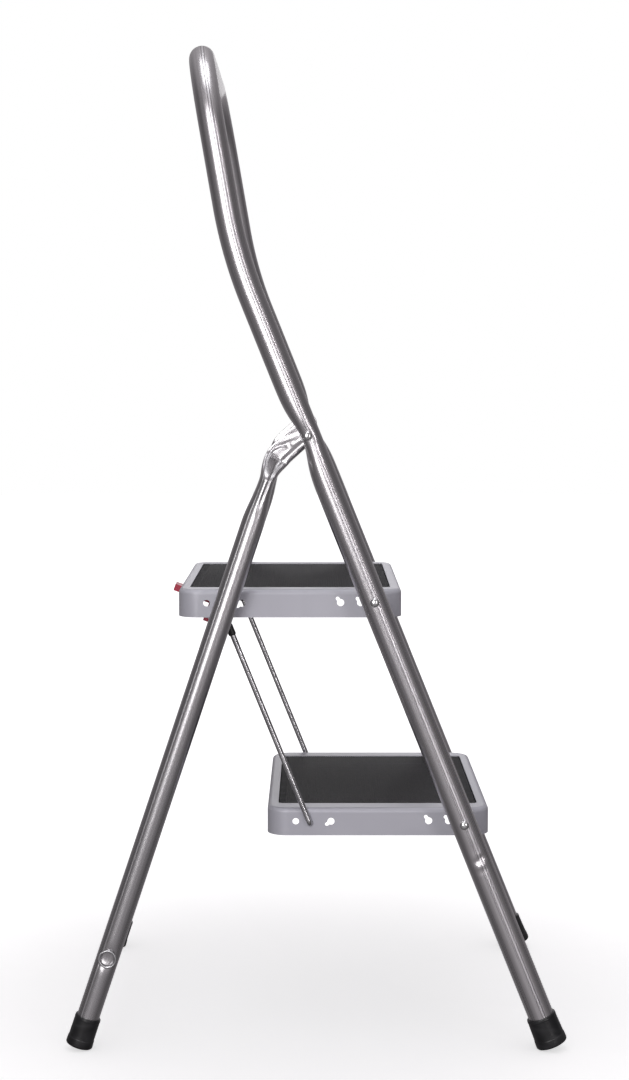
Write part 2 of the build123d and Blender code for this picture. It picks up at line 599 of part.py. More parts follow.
with BuildPart() as latch_bracket:
    for _, side in SIDES:
        with BuildSketch(Plane(origin=(0, side * ear_inner, latch_z), x_dir=(1, 0, 0), z_dir=(0, -1, 0))):
            with Locations(((bracket_back + ear_front) / 2, (sill_bottom + LATCH_PIN_DIA) / 2)):
                Rectangle(ear_front - bracket_back, LATCH_PIN_DIA - sill_bottom)
            with Locations((latch_x, 0)):
                Circle(LATCH_PIN_DIA / 2, mode=Mode.SUBTRACT)
        extrude(amount=-side * BRACKET_SHEET)
    with BuildSketch(Plane(origin=(bracket_back, 0, latch_z), x_dir=(0, 1, 0), z_dir=(1, 0, 0))):
        with Locations((0, (sill_bottom + sill_top) / 2)):
            Rectangle(2 * ear_outer, sill_top - sill_bottom)
    extrude(amount=BRACKET_SHEET)
write(latch_bracket, "latch_bracket")

with BuildPart() as latch_pin:
    with BuildSketch(Plane(origin=(latch_x, 0, latch_z), x_dir=(1, 0, 0), z_dir=(0, 1, 0))):
        Circle(LATCH_PIN_DIA / 2)
    extrude(amount=ear_outer, both=True)
    for _, side in SIDES:
        with BuildSketch(across(latch_x, latch_z, ear_outer, side)):
            Circle(LATCH_PIN_HEAD_DIA / 2)
        extrude(amount=LATCH_PIN_HEAD_HEIGHT)
write(latch_pin, "latch_pin")
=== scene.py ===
"""Dresses a folding two-tread step stool round its fixed frame.

Each sub-assembly is a class: it holds its sizes as fields, works out its surfaces as numpy arrays and
puts its finishes on. Lengths are metres, +Z is up, +X is the side the user climbs from and +Y is left.
"""
from __future__ import annotations

import json
import logging
import math
from dataclasses import dataclass
from enum import Enum
from typing import Optional, Union

import bpy
import numpy as np
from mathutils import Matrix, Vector


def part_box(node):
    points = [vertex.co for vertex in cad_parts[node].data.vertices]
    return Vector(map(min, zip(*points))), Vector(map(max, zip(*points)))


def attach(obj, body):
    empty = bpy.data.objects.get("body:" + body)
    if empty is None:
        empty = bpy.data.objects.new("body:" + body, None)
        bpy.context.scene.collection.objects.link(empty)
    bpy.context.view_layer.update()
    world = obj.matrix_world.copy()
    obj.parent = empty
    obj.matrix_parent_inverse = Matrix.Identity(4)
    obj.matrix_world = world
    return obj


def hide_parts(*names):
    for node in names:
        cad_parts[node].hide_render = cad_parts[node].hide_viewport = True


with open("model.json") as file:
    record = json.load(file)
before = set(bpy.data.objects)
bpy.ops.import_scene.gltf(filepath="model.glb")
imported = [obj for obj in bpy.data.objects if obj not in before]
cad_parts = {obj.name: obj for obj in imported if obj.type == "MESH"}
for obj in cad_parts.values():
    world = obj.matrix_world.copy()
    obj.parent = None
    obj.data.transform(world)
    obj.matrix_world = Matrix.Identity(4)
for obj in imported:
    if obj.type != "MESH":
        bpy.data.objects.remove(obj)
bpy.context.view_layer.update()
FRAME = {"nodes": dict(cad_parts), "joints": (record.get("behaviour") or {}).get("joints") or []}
LOG = logging.getLogger("step_stool")

MM = 0.001
Array = np.ndarray
Value = Union[float, tuple, "Wire"]


class Side(Enum):
    """The stool's two sides, with the sign of Y there."""

    LEFT = 1
    RIGHT = -1

    @property
    def tag(self) -> str:
        """The word that ends the names of this side's pieces."""
        return self.name.lower()


class Body(Enum):
    """The rigid bodies that pieces ride on."""

    FRONT = "front_frame"
    REAR = "rear_frame"
    UPPER = "upper_step"
    LOWER = "lower_step"
    LATCH = "latch"
    LINK_LEFT = "link_left"
    LINK_RIGHT = "link_right"


# ------------------------------------------------------------------ shader expressions
class Wire:
    """A number on a shader socket; arithmetic on it adds Math nodes."""

    def __init__(self, recipe: "Graph", socket: bpy.types.NodeSocket) -> None:
        """Keeps the graph that owns the socket, and the socket."""
        self.recipe = recipe
        self.socket = socket

    def maths(self, operation: str, *terms: Value) -> "Wire":
        """Adds one Math node.

        Args:
            operation: the Math node's operation.
            terms: its inputs in order, numbers or wires.

        Returns:
            The node's result.
        """
        return self.recipe.node("ShaderNodeMath", {"operation": operation}, dict(enumerate(terms)))

    def __add__(self, other: Value) -> "Wire":
        """Sum."""
        return self.maths("ADD", self, other)

    def __sub__(self, other: Value) -> "Wire":
        """Difference."""
        return self.maths("SUBTRACT", self, other)

    def __rsub__(self, other: Value) -> "Wire":
        """Difference, taken from a number."""
        return self.maths("SUBTRACT", other, self)

    def __mul__(self, other: Value) -> "Wire":
        """Product."""
        return self.maths("MULTIPLY", self, other)

    def __truediv__(self, other: Value) -> "Wire":
        """Quotient."""
        return self.maths("DIVIDE", self, other)

    __radd__ = __add__
    __rmul__ = __mul__

    def size(self) -> "Wire":
        """Absolute value."""
        return self.maths("ABSOLUTE", self)

    def wave(self) -> "Wire":
        """Sine, of radians."""
        return self.maths("SINE", self)

    def span(self, low: float, high: float) -> "Wire":
        """Smooth step that is 0 at low and 1 at high, either way round."""
        return self.recipe.node(
            "ShaderNodeMapRange", {"interpolation_type": "SMOOTHSTEP"}, {0: self, 1: low, 2: high, 3: 0.0, 4: 1.0})


class Graph:
    """A node tree that is being filled."""

    def __init__(self, tree: bpy.types.NodeTree) -> None:
        """Empties the tree and keeps it."""
        self.tree = tree
        self.tree.nodes.clear()

    def node(self, kind: str, settings: Optional[dict] = None, inputs: Optional[dict] = None,
             output: Union[int, str] = 0) -> Wire:
        """Adds one node.

        Args:
            kind: the node's type.
            settings: attributes set before anything is linked; "stops" fills a colour ramp.
            inputs: values or wires by socket name or number.
            output: the socket to return.

        Returns:
            The chosen output.
        """
        made = self.tree.nodes.new(kind)
        for key, value in (settings or {}).items():
            if key == "stops":
                self._fill_ramp(made.color_ramp, value)
            else:
                setattr(made, key, value)
        for key, value in (inputs or {}).items():
            self._feed(made.inputs[key], value)
        return Wire(self, made.outputs[output])

    def _fill_ramp(self, ramp: bpy.types.ColorRamp, stops: list) -> None:
        """Sets a ramp's stops, given as (position, colour) pairs."""
        while len(ramp.elements) < len(stops):
            ramp.elements.new(1.0)
        for element, (position, colour) in zip(ramp.elements, stops):
            element.position = position
            element.color = (*colour, 1.0)

    def _feed(self, socket: bpy.types.NodeSocket, value: Value) -> None:
        """Links a wire to a socket, or sets its value."""
        if isinstance(value, Wire):
            self.tree.links.new(value.socket, socket)
        elif isinstance(value, tuple) and socket.type == "RGBA":
            socket.default_value = (*value, 1.0)
        else:
            socket.default_value = value

    def node_out(self, kind: str, shader: Wire) -> None:
        """Adds the tree's output node and links a shader to it."""
        self.tree.links.new(shader.socket, self.tree.nodes.new(kind).inputs[0])

    def wire(self, socket: bpy.types.NodeSocket) -> Wire:
        """Wraps an output socket."""
        return Wire(self, socket)


class Recipe(Graph):
    """A material being built: one surface shader and whatever feeds it."""

    def __init__(self, name: str) -> None:
        """Starts an empty material of that name."""
        self.material = bpy.data.materials.new(name)
        self.material.use_nodes = True
        super().__init__(self.material.node_tree)
        self.surface = self.tree.nodes.new("ShaderNodeBsdfPrincipled")
        self.node_out("ShaderNodeOutputMaterial", self.wire(self.surface.outputs[0]))

    def set(self, **values: Value) -> "Recipe":
        """Feeds the surface shader; underscores in the names stand for spaces."""
        for key, value in values.items():
            self._feed(self.surface.inputs[key.replace("_", " ")], value)
        return self

    def blend(self, low: Value, high: Value, share: Wire) -> Wire:
        """Colour that is low where share is 0 and high where it is 1."""
        return self.node("ShaderNodeMix", {"data_type": "RGBA"}, {0: share, 6: low, 7: high}, 2)

    def place(self) -> Wire:
        """The piece's own coordinates, in metres."""
        return self.node("ShaderNodeTexCoord", output="Object")

    def strip(self) -> tuple[Wire, Wire]:
        """Round and along a swept piece: turns round it, and metres along it."""
        split = self.node("ShaderNodeSeparateXYZ", inputs={0: self.node("ShaderNodeUVMap")})
        return split, self.wire(split.socket.node.outputs[1])

    def vector(self, x: Value, y: Value, z: Value = 0.0) -> Wire:
        """Vector of three numbers or wires."""
        return self.node("ShaderNodeCombineXYZ", inputs={0: x, 1: y, 2: z})

    def stretch(self, place: Wire, scale: tuple[float, float, float]) -> Wire:
        """Coordinates multiplied by a factor on each axis."""
        return self.node("ShaderNodeMapping", inputs={"Vector": place, "Scale": scale})

    def noise(self, place: Wire, scale: float, detail: float = 3.0, warp: float = 0.0) -> Wire:
        """Noise from 0 to 1 at a place."""
        return self.node("ShaderNodeTexNoise", {}, {
            "Vector": place, "Scale": scale, "Detail": detail, "Distortion": warp}, "Fac")

    def bump(self, height: Wire, distance: float, strength: float = 1.0) -> Wire:
        """Normal of a height field; distance is metres for a height of 1."""
        return self.node("ShaderNodeBump", {}, {"Height": height, "Distance": distance, "Strength": strength})


# ------------------------------------------------------------------ finishes
@dataclass(frozen=True)
class PlatedTube:
    """Bright plated tube: lengthwise drawing marks, faint stains and a weld seam, with a painted highlight along the
    seam and painted shade in the groove beside it.
    """

    slot: str = "plated_tube"
    seam_at: float = 0.0        # turns round the tube from its outer side
    light: tuple = (0.74, 0.72, 0.735)
    dark: tuple = (0.50, 0.485, 0.50)

    def make(self) -> bpy.types.Material:
        """Builds the material. It reads the piece's UV map: turns round, metres along."""
        r = Recipe(f"plated_tube_{round(self.seam_at * 100):02d}")
        around, along = r.strip()
        turn = around * (2 * math.pi)
        ring = r.vector(turn.maths("COSINE", turn), turn.wave(), along * 1.1)
        drawn = r.noise(r.vector(turn.maths("COSINE", turn) * 34, turn.wave() * 34, along * 3.0), 1.0, 5.0)
        cloud = r.noise(ring, 2.6, 4.0, 0.6)
        scratch = r.noise(r.vector(turn.maths("COSINE", turn) * 9, turn.wave() * 9, along * 150.0), 1.0, 2.0)
        nicks = scratch.span(0.70, 0.78) * cloud.span(0.45, 0.6)
        offset = (around - self.seam_at).size()
        weld_bead_and_painted_highlight = offset.span(0.014, 0.006)
        groove = (offset - 0.018).size().span(0.006, 0.002)
        tone = (drawn.span(0.25, 0.8) * 0.55 + cloud.span(0.3, 0.75) * 0.45) - nicks * 0.25
        colour = r.blend(self.dark, self.light, tone * 0.8 + 0.2)
        # painted highlight: the weld bead is painted lighter along the seam
        colour = r.blend(colour, (0.86, 0.85, 0.87), weld_bead_and_painted_highlight * 0.55)
        # painted shade: the groove beside the seam is painted dark
        colour = r.blend(colour, (0.16, 0.15, 0.16), groove * 0.55)
        rough = 0.20 + drawn * 0.14 + cloud.span(0.4, 0.8) * 0.08 + weld_bead_and_painted_highlight * 0.1
        height = drawn * 0.25 + weld_bead_and_painted_highlight * 0.9 - groove * 0.6 - nicks * 0.3
        r.set(Base_Color=colour, Metallic=0.96, Roughness=rough, Normal=r.bump(height, 0.00022, 0.6))
        return r.material


@dataclass(frozen=True)
class Steel:
    """Small plated steel parts: wire, rivets, washers, clips and brackets."""

    slot: str
    tone: tuple = (0.66, 0.66, 0.67)
    shade: tuple = (0.42, 0.42, 0.43)
    roughness: float = 0.22
    grain: float = 900.0

    def make(self) -> bpy.types.Material:
        """Builds the material from Object coordinates, so that it suits any small part."""
        r = Recipe(self.slot)
        place = r.place()
        fine = r.noise(place, self.grain, 3.0)
        stain = r.noise(place, 60.0, 4.0, 0.4)
        colour = r.blend(self.shade, self.tone, fine.span(0.2, 0.7) * 0.4 + stain.span(0.3, 0.65) * 0.6)
        rough = self.roughness + stain.span(0.45, 0.8) * 0.14 + fine * 0.05
        r.set(Base_Color=colour, Metallic=0.97, Roughness=rough, Normal=r.bump(fine, 0.00004, 0.5))
        return r.material


@dataclass(frozen=True)
class PowderCoat:
    """Satin light grey powder coat with a fine orange peel."""

    slot: str = "grey_powder_coat"
    tone: tuple = (0.50, 0.50, 0.55)
    shade: tuple = (0.45, 0.45, 0.50)

    def make(self) -> bpy.types.Material:
        """Builds the material: peel in the bump, slow drift in colour, a few dust specks."""
        r = Recipe(self.slot)
        place = r.place()
        peel = r.noise(place, 620.0, 2.5)
        drift = r.noise(place, 11.0, 3.0, 0.5)
        specks = r.noise(place, 1500.0, 1.0).span(0.79, 0.86) * r.noise(place, 90.0, 2.0).span(0.5, 0.62)
        colour = r.blend(self.shade, self.tone, drift.span(0.25, 0.7))
        colour = r.blend(colour, (0.2, 0.2, 0.22), specks * 0.5)
        rough = 0.36 + drift * 0.1 + peel * 0.05
        r.set(Base_Color=colour, Metallic=0.12, Roughness=rough, Normal=r.bump(peel, 0.00006, 0.55),
              Coat_Weight=0.16, Coat_Roughness=0.25)
        return r.material


@dataclass(frozen=True)
class RibbedRubber:
    """Black mat rubber with smeared, wavy wipe marks."""

    slot: str = "ribbed_rubber"

    def make(self) -> bpy.types.Material:
        """Builds the material: long streaks warped by slow noise lighten and dull the black."""
        r = Recipe(self.slot)
        place = r.place()
        streaks = r.noise(r.stretch(place, (1.0, 6.5, 1.0)), 9.0, 5.0, 1.8)
        broad = r.noise(r.stretch(place, (1.0, 3.0, 1.0)), 6.0, 3.0, 0.8)
        dust = r.noise(place, 420.0, 3.0)
        wiped = streaks.span(0.5, 0.72) * broad.span(0.35, 0.65)
        colour = r.blend((0.010, 0.010, 0.012), (0.066, 0.064, 0.070), wiped)
        colour = r.blend(colour, (0.13, 0.13, 0.14), dust.span(0.66, 0.8) * wiped * 0.6)
        rough = 0.50 + wiped * 0.2 + dust * 0.1
        r.set(Base_Color=colour, Roughness=rough, Specular_IOR_Level=0.22, Normal=r.bump(dust, 0.00008, 0.5))
        return r.material


@dataclass(frozen=True)
class Moulded:
    """Moulded rubber or plastic in one colour, with a fine moulding texture."""

    slot: str
    tone: tuple
    shade: tuple
    roughness: float
    texture: float = 800.0

    def make(self) -> bpy.types.Material:
        """Builds the material: fine texture in the bump, scuffs in colour and roughness."""
        r = Recipe(self.slot)
        place = r.place()
        fine = r.noise(place, self.texture, 2.0)
        scuff = r.noise(r.stretch(place, (1.0, 1.0, 2.5)), 45.0, 4.0, 0.7)
        colour = r.blend(self.shade, self.tone, scuff.span(0.3, 0.75))
        rough = self.roughness + scuff.span(0.4, 0.75) * 0.15 + fine * 0.06
        r.set(Base_Color=colour, Roughness=rough, Normal=r.bump(fine, 0.00009, 0.5))
        return r.material


class Paintbox:
    """The stool's finishes, each made once and handed out by name."""

    def __init__(self) -> None:
        """Makes every material."""
        self.finishes = {
            "front_tube": PlatedTube(seam_at=0.03),
            "rear_tube": PlatedTube(seam_at=0.10, light=(0.66, 0.65, 0.66)),
            "cross_tube": PlatedTube(seam_at=0.5),
            "wire": Steel("plated_wire", roughness=0.17),
            "rivet": Steel("rivet_steel", tone=(0.8, 0.8, 0.8), shade=(0.58, 0.58, 0.59), roughness=0.13),
            "zinc": Steel("plain_steel", tone=(0.52, 0.52, 0.53), shade=(0.36, 0.36, 0.37), roughness=0.3),
            "coat": PowderCoat(),
            "mat": RibbedRubber(),
            "foot": Moulded("black_rubber", (0.022, 0.022, 0.024), (0.009, 0.009, 0.010), 0.34, 620.0),
            "sleeve": Moulded("black_plastic", (0.022, 0.022, 0.022), (0.012, 0.012, 0.012), 0.4),
            "latch": Moulded("red_plastic", (0.50, 0.008, 0.052), (0.36, 0.004, 0.032), 0.30),
        }
        self.materials = {name: finish.make() for name, finish in self.finishes.items()}

    def dress(self, piece: bpy.types.Object, name: str) -> None:
        """Gives a piece a finish, in place of any it had."""
        piece.data.materials.clear()
        piece.data.materials.append(self.materials[name])

    def repaint(self, node: str, name: str) -> None:
        """Gives a frame node a finish in place of its plain one."""
        for holder in FRAME["nodes"][node].material_slots:
            holder.material = self.materials[name]


# ------------------------------------------------------------------ surfaces
def smooth_step(share: Array) -> Array:
    """3s^2 - 2s^3 of shares cut to 0..1."""
    share = np.clip(share, 0.0, 1.0)
    return share * share * (3 - 2 * share)


def bell(distance: Array, width: float) -> Array:
    """exp(-(d/w)^2): 1 at nought, about a third at one width."""
    return np.exp(-((distance / width) ** 2))


def turned(angle: Array, centre: float) -> Array:
    """Signed angle from a centre, in -pi..pi."""
    return (angle - centre + np.pi) % (2 * np.pi) - np.pi


def make_piece(name: str, grid: Array, ring: bool = True, caps: tuple[bool, bool] = (True, True),
               uv: Optional[Array] = None) -> bpy.types.Object:
    """Puts a grid of points into a smooth-shaded mesh.

    Args:
        name: the piece's name.
        grid: points as (rows, columns, 3); faces point outwards when columns turn anticlockwise
            about the direction that the rows advance in.
        ring: whether each row closes on itself.
        caps: whether the first and the last row are closed with a fan about their middles.
        uv: round and along, as (rows, columns + 1, 2) for a ring or (rows, columns, 2) otherwise.

    Returns:
        The new object, linked to the scene.
    """
    rows, columns = grid.shape[:2]
    row = np.arange(rows - 1)[:, None]
    column = np.arange(columns if ring else columns - 1)[None, :]
    following = (column + 1) % columns
    quads = np.stack([row * columns + column, row * columns + following,
                      (row + 1) * columns + following, (row + 1) * columns + column], axis=-1).reshape(-1, 4)
    points = grid.reshape(-1, 3)
    faces = [tuple(int(i) for i in quad) for quad in quads]
    fans = []
    for use, start, flip in ((caps[0], 0, True), (caps[1], (rows - 1) * columns, False)):
        if ring and use:
            middle = len(points)
            points = np.vstack([points, grid.reshape(-1, 3)[start:start + columns].mean(0)])
            here, after = np.arange(columns), (np.arange(columns) + 1) % columns
            pair = (after, here) if flip else (here, after)
            fans += [(start + int(a), start + int(b), middle) for a, b in zip(*pair)]
    mesh = bpy.data.meshes.new(name)
    mesh.from_pydata(points.tolist(), [], faces + fans)
    if uv is not None:
        layer = mesh.uv_layers.new(name="UVMap")
        flat = np.zeros((len(mesh.loops), 2), np.float32)
        wide = uv.shape[1]
        corner = np.stack([row * wide + column, row * wide + column + 1,
                           (row + 1) * wide + column + 1, (row + 1) * wide + column], axis=-1).reshape(-1)
        flat[:corner.size] = uv.reshape(-1, 2)[corner]
        rest = len(mesh.loops) - corner.size
        if rest:
            loops = np.zeros(len(mesh.loops), np.int32)
            mesh.loops.foreach_get("vertex_index", loops)
            tail = np.minimum(loops[corner.size:], rows * columns - 1)
            flat[corner.size:] = uv.reshape(-1, 2)[(tail // columns) * wide + tail % columns]
        layer.data.foreach_set("uv", flat.ravel())
    mesh.polygons.foreach_set("use_smooth", np.ones(len(mesh.polygons), bool))
    mesh.validate()
    piece = bpy.data.objects.new(name, mesh)
    bpy.context.scene.collection.objects.link(piece)
    return piece


@dataclass
class Route:
    """A centre line of straight runs joined by arcs, with its direction at each point."""

    points: Array
    heading: Array

    @property
    def travel(self) -> Array:
        """Length from the start to each point."""
        steps = np.linalg.norm(np.diff(self.points, axis=0), axis=1)
        return np.concatenate([[0.0], np.cumsum(steps)])

    def nearest(self, place: Array) -> float:
        """Length along the route of its point nearest a place."""
        return float(self.travel[np.argmin(np.linalg.norm(self.points - place, axis=1))])

    @classmethod
    def through(cls, corners: Array, radii: list[float], step: float) -> "Route":
        """Rounds a polyline's corners and samples it.

        Args:
            corners: (n, 3) points, the first and last being the ends.
            radii: arc radius at each inner corner.
            step: longest distance between samples.

        Returns:
            The route. On an arc of radius R turning from a to b, a point at angle t is the arc's start
            plus R (a sin t + n (1 - cos t)), with n square to a towards b.
        """
        points, heading = [], []
        start = corners[0]
        for i, radius in enumerate(radii):
            a = corners[i + 1] - corners[i]
            b = corners[i + 2] - corners[i + 1]
            a, b = a / np.linalg.norm(a), b / np.linalg.norm(b)
            turn = math.acos(float(np.clip(a @ b, -1, 1)))
            entry = corners[i + 1] - a * radius * math.tan(turn / 2)
            count = max(2, int(np.linalg.norm(entry - start) / step))
            share = np.linspace(0, 1, count, endpoint=False)[:, None]
            points.append(start + (entry - start) * share)
            heading.append(np.repeat(a[None], count, 0))
            inward = b - a * (a @ b)
            inward /= np.linalg.norm(inward)
            count = max(8, int(radius * turn / step))
            angle = np.linspace(0, turn, count, endpoint=False)[:, None]
            points.append(entry + radius * (a * np.sin(angle) + inward * (1 - np.cos(angle))))
            heading.append(a * np.cos(angle) + inward * np.sin(angle))
            start = entry + radius * (a * math.sin(turn) + inward * (1 - math.cos(turn)))
        run = corners[-1] - start
        count = max(2, int(np.linalg.norm(run) / step))
        points.append(start + run * np.linspace(0, 1, count)[:, None])
        heading.append(np.repeat((run / np.linalg.norm(run))[None], count, 0))
        return cls(np.vstack(points), np.vstack(heading))


def sweep(route: Route, outward: Array, radius: Union[float, Array], columns: int = 48) -> tuple[Array, Array]:
    """Ring of points round each point of a route.

    A point at angle t is the centre plus r (o cos t + s sin t), where o is the outward direction made
    square to the heading, and s is the heading crossed with o.

    Args:
        route: the centre line.
        outward: (n, 3) or (3,) direction that angle 0 looks in.
        radius: one radius, or (n, columns) of them.
        columns: points in a ring.

    Returns:
        The points as (n, columns, 3), and their UV as (n, columns + 1, 2).
    """
    heading = route.heading
    out = np.broadcast_to(outward, heading.shape)
    out = out - heading * np.sum(out * heading, axis=1, keepdims=True)
    out = out / np.linalg.norm(out, axis=1, keepdims=True)
    across = np.cross(heading, out)
    angle = ring_angles(columns)
    radius = np.broadcast_to(radius, (len(heading), columns))[..., None]
    rim = out[:, None] * np.cos(angle)[None, :, None] + across[:, None] * np.sin(angle)[None, :, None]
    return route.points[:, None] + rim * radius, strip_uv(route.travel, columns)


def ring_angles(columns: int) -> Array:
    """Angles of a ring's points, from 0 round to just short of a turn."""
    return np.linspace(0, 2 * np.pi, columns, endpoint=False)


def strip_uv(travel: Array, columns: int) -> Array:
    """UV of a swept piece: turns round, from -0.5 to 0.5, and metres along."""
    turns = np.arange(columns + 1) / columns
    return np.stack(np.broadcast_arrays(turns[None, :], travel[:, None]), axis=-1)


def lathe(name: str, profile: Array, foot: Array, axis: Array, columns: int = 48) -> bpy.types.Object:
    """Turns a profile of (radius, height) pairs about an axis through a point.

    A point is the foot plus height times the axis, plus radius times (u cos t + v sin t), with u and v
    square to the axis.
    """
    axis = axis / np.linalg.norm(axis)
    u = np.cross(axis, [1.0, 0.0, 0.0] if abs(axis[0]) < 0.9 else [0.0, 1.0, 0.0])
    u /= np.linalg.norm(u)
    v = np.cross(axis, u)
    angle = ring_angles(columns)
    rim = u[None] * np.cos(angle)[:, None] + v[None] * np.sin(angle)[:, None]
    grid = foot + profile[:, 1, None, None] * axis + profile[:, 0, None, None] * rim[None]
    closed = bool(np.allclose(profile[0], profile[-1]))
    return make_piece(name, grid, caps=(not closed, not closed))


def rounded(profile: list[tuple[float, float]], radii: list[float], arc_points: int = 6) -> Array:
    """A 2-D outline with its inner corners rounded by arcs, as (n, 2) points."""
    corners = np.array([(x, y, 0.0) for x, y in profile])
    parts = [corners[:1]]
    for i, radius in enumerate(radii):
        here = corners[i + 1]
        a, b = corners[i] - here, corners[i + 2] - here
        room = min(np.linalg.norm(a), np.linalg.norm(b)) * 0.49
        a, b = a / np.linalg.norm(a), b / np.linalg.norm(b)
        opening = math.acos(float(np.clip(a @ b, -1, 1)))
        if radius <= 0 or opening > math.pi - 0.02:
            parts.append(here[None])
            continue
        tangent = min(radius / math.tan(opening / 2), room)
        share = np.linspace(0, 1, arc_points)[:, None]
        start, end = here + a * tangent, here + b * tangent
        parts.append((1 - share) ** 2 * start + 2 * share * (1 - share) * here + share ** 2 * end)
    parts.append(corners[-1:])
    return np.vstack(parts)[:, :2]


def as_array(place: Vector) -> Array:
    """A Blender vector as an array."""
    return np.array(place, float)


def joint_place(name: str) -> Array:
    """Where a joint's axis crosses the middle plane."""
    return np.array(next(j["pos_m"] for j in FRAME["joints"] if j["name"] == name), float)


def finish_piece(piece: bpy.types.Object, body: Body, paint: Paintbox, finish: str, *nodes: str) -> None:
    """Dresses a piece, sets it on its body, and has it stand for its frame nodes."""
    paint.dress(piece, finish)
    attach(piece, body.value)
    if nodes:
        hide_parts(*nodes)
    LOG.info("%s: %d faces on %s", piece.name, len(piece.data.polygons), body.value)


# ------------------------------------------------------------------ front frame
@dataclass
class FrontFrame:
    """The bent front tube, its feet, and the rivets, washers and spacers in it."""

    paint: Paintbox
    radius: float = 12.5 * MM
    wall: float = 1.2 * MM
    bend_height: float = 768.0 * MM
    bend_radius: float = 430.0 * MM
    loop_radius: float = 75.0 * MM
    handle_lean: float = math.radians(9.8)
    dent_depth: float = 6.4 * MM
    dent_reach: float = 25.0 * MM
    dimple_depth: float = 1.7 * MM
    crimp_below_rivet: float = 36.5 * MM
    step: float = 2.5 * MM
    columns: int = 96

    def __post_init__(self) -> None:
        """Finds the tube's line from the rivets and the frame's box."""
        self.pivot = joint_place("rear_fold")
        self.upper = joint_place("upper_step_fold")
        self.lower = joint_place("lower_step_fold")
        low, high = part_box("front_tube")
        self.half_track = high.y - self.radius
        down = self.lower - self.upper
        self.lean = math.atan2(down[0], -down[2])
        self.start_z = low.z + self.radius * math.sin(self.lean)
        self.crown_z = high.z - self.radius

    def line_x(self, height: float) -> float:
        """X of the straight tube at a height below the bend."""
        return self.upper[0] - (height - self.upper[2]) * math.tan(self.lean)

    def on_tube(self, place: Array, side: Side) -> Array:
        """A point of the middle plane moved out to a tube's centre line."""
        return np.array([place[0], side.value * self.half_track, place[2]])

    def route(self) -> Route:
        """The tube's centre line, from the right foot over the hand loop to the left foot."""
        bend_x = self.line_x(self.bend_height)
        crown_x = bend_x - (self.crown_z - self.bend_height) * math.tan(self.handle_lean)
        leg = [(self.line_x(self.start_z), self.start_z), (bend_x, self.bend_height), (crown_x, self.crown_z)]
        right = [(x, -self.half_track, z) for x, z in leg]
        left = [(x, self.half_track, z) for x, z in reversed(leg)]
        radii = [self.bend_radius, self.loop_radius, self.loop_radius, self.bend_radius]
        return Route.through(np.array(right + left), radii, self.step)

    def outward(self, route: Route) -> Array:
        """Direction away from the middle of the loop: the loop's face direction crossed with the heading."""
        lean_here = np.arctan2(np.abs(route.heading[:, 0]), np.abs(route.heading[:, 2]))
        in_loop = route.points[:, 2] > self.bend_height + self.bend_radius * 0.12
        lean_here = np.where(in_loop, self.handle_lean, lean_here)
        face = np.stack([np.cos(lean_here), np.zeros_like(lean_here), np.sin(lean_here)], axis=1)
        return np.cross(face, route.heading)

    def tube_radius(self, route: Route, side_sign: Array) -> Array:
        """Radius all over the tube, with its pressed places.

        Round the tube, angle 0 is outward; a quarter turn back is the rear on the right leg and the front
        on the left one, which side_sign evens out. Near each pivot the back is pressed in by a bell along
        the tube, the outer side has a round dimple, and below the lower rivet a crimp crosses the tube.
        """
        angle = ring_angles(self.columns)[None, :]
        to_back = turned(angle * side_sign[:, None], -np.pi / 2)
        outer = turned(angle, 0.0)
        radius = np.full((len(route.points), self.columns), self.radius)
        travel = route.travel
        for side in Side:
            here = (np.sign(route.points[:, 1]) == side.value)[:, None]
            pivot = (travel - route.nearest(self.on_tube(self.pivot, side)))[:, None]
            squeeze = bell(pivot + 2 * MM, self.dent_reach) * bell(to_back, 1.25)
            dimple = np.exp(-(pivot / (9 * MM)) ** 2 - (outer * self.radius / (7 * MM)) ** 2)
            radius -= here * (self.dent_depth * squeeze + self.dimple_depth * dimple)
            crimp_place = self.on_tube(self.lower, side)
            upward = np.sign(route.heading[:, 2])[:, None]
            crimp = (travel - route.nearest(crimp_place))[:, None] * upward + self.crimp_below_rivet
            band = bell(outer - 0.1 * side_sign[:, None], 0.75)
            skew = crimp - outer * side_sign[:, None] * 2.5 * MM
            radius -= here * band * 1.5 * MM * bell(skew, 2.6 * MM)
            radius += here * bell(outer, 0.42) * 0.55 * MM * bell(crimp + 6.5 * MM, 2.4 * MM)
            radius -= here * bell(outer, 0.40) * 0.6 * MM * bell(crimp + 10.5 * MM, 1.6 * MM)
            radius -= here * bell(outer - 0.1, 0.55) * 0.5 * MM * bell(crimp - 9 * MM, 8.0 * MM)
        return radius

    def build_tube(self) -> None:
        """Makes the tube as one skin over its outside, capped at both foot ends."""
        route = self.route()
        outward = self.outward(route)
        side_sign = -np.sign(route.points[:, 1])
        radius = self.tube_radius(route, side_sign)
        grid, uv = sweep(route, outward, radius, self.columns)
        piece = make_piece("front_tube_skin", grid, uv=centred(uv))
        finish_piece(piece, Body.FRONT, self.paint, "front_tube", "front_tube")

    def build_feet(self) -> None:
        """Makes the front feet."""
        axis = np.array([-math.sin(self.lean), 0.0, math.cos(self.lean)])
        for side in Side:
            cup = Foot(self.paint, f"front_foot_{side.tag}", Body.FRONT, axis, 28.5 * MM, 31.4 * MM, self.radius)
            cup.build()

    def build_fasteners(self) -> None:
        """Makes the rivets, and re-dresses the spacers and washers."""
        for side in Side:
            for node in (f"pivot_rivet_{side.tag}", f"upper_step_rivet_{side.tag}", f"lower_step_rivet_{side.tag}"):
                sunk = 1.2 * MM if node.startswith("pivot") else 0.0
                DomedRivet(self.paint, node, side, sunk).build()
            for node in (f"upper_step_spacer_{side.tag}", f"lower_step_spacer_{side.tag}", f"pivot_washer_{side.tag}"):
                self.paint.repaint(node, "zinc")

    def build(self) -> None:
        """Makes the whole front frame."""
        self.build_tube()
        self.build_feet()
        self.build_fasteners()


